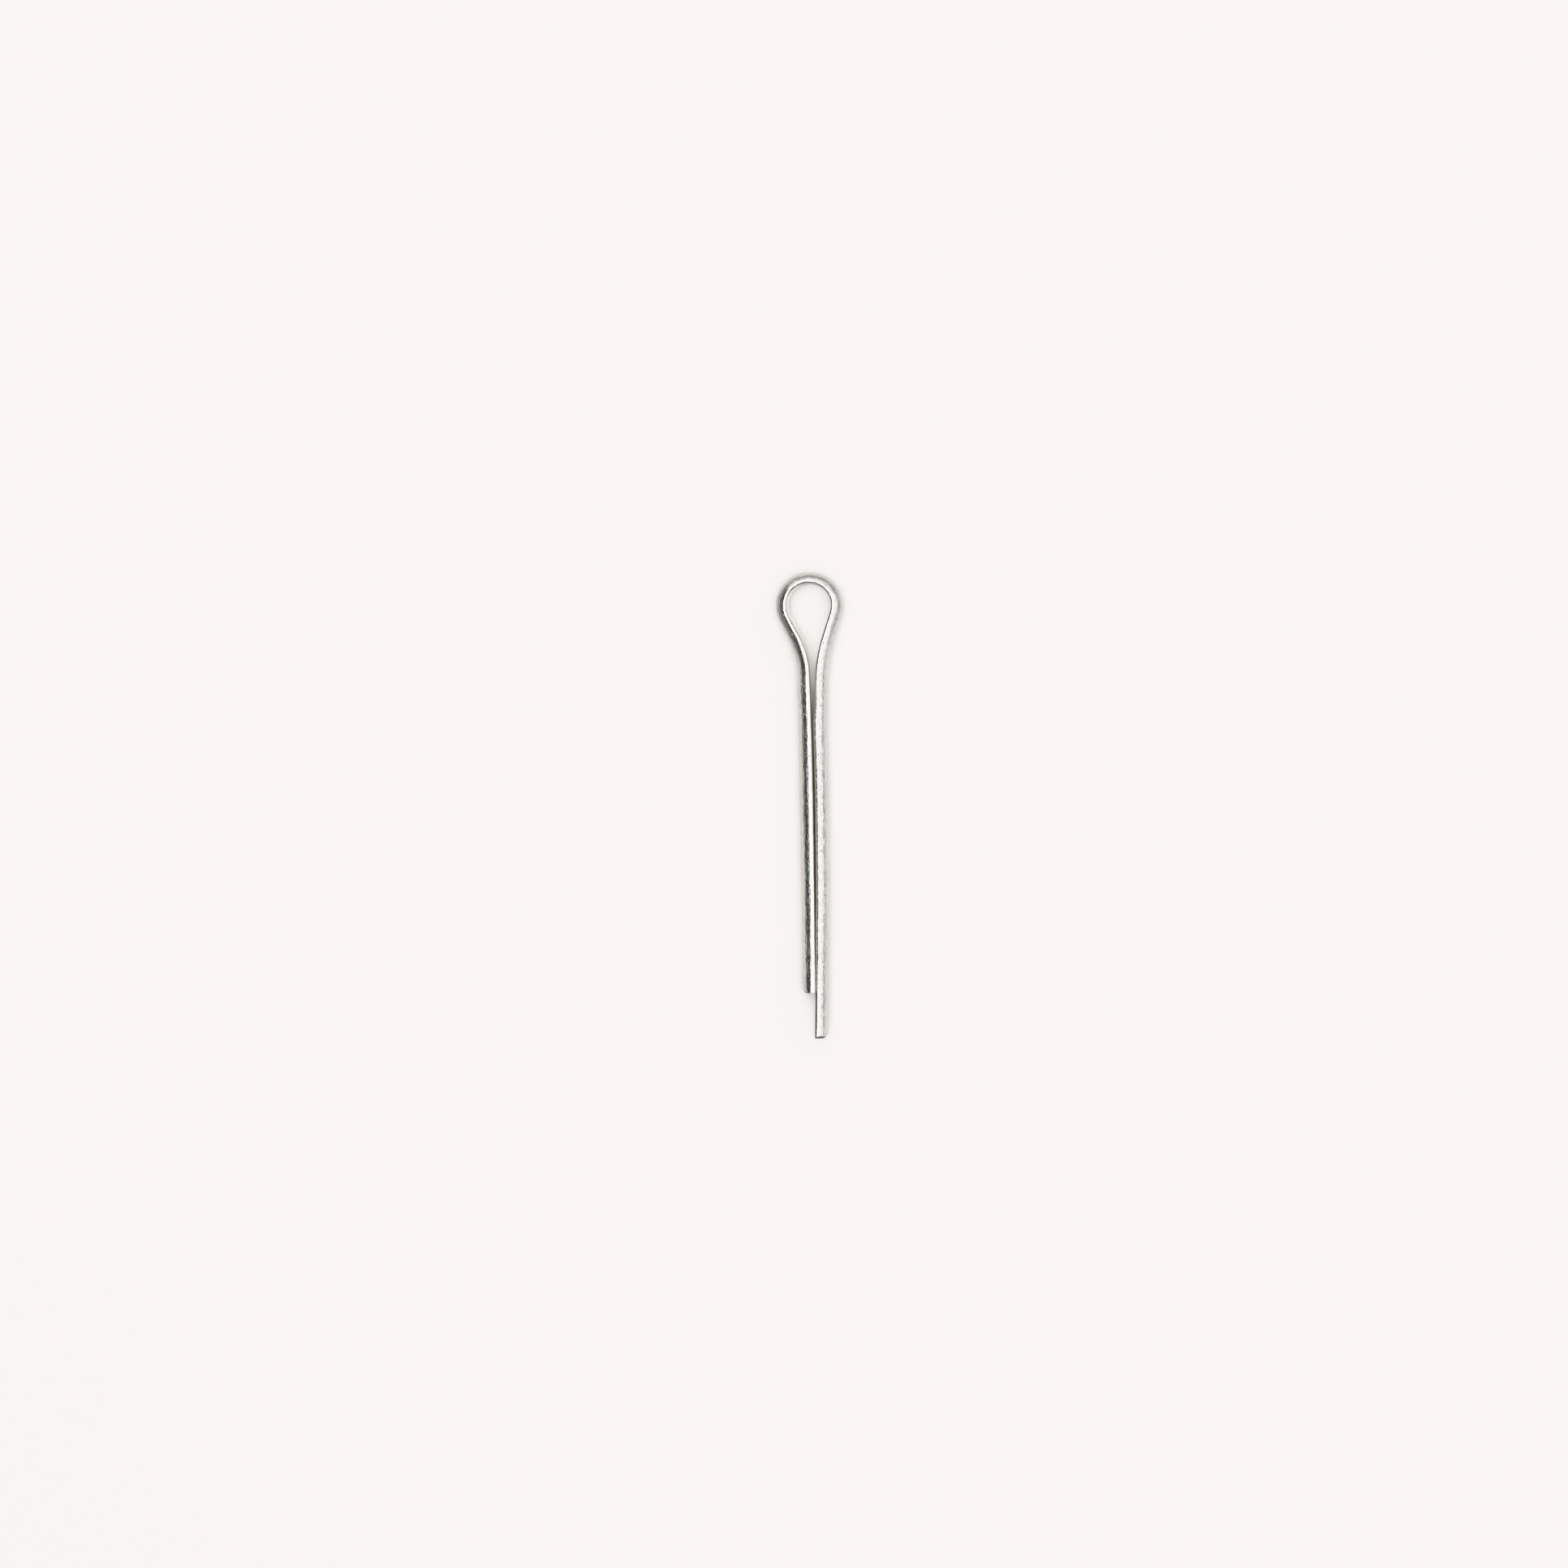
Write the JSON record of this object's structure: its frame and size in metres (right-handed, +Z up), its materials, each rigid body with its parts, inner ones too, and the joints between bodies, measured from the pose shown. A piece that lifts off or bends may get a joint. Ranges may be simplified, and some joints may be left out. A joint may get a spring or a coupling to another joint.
{
  "type": "cotter pin",
  "caption": "Split cotter pin bent from half-round wire, with a round eye, a split shank and one prong cut longer than the other.",
  "frame": {"origin": "on the surface that the pin lies on, halfway along its length, under the axis of the split shank", "axes": "+Y along the shank towards the eye, +X towards the long leg, +Z up out of the surface"},
  "size_m": [0.0082, 0.0556, 0.0031],
  "materials": {
    "plated_wire": "bright zinc-like plating on drawn steel wire, with lengthwise draw lines, small dents along the crown and fine dark pits"
  },
  "bodies": {
    "root": {"cotter_pin": "plated_wire"}
  },
  "joints": []
}
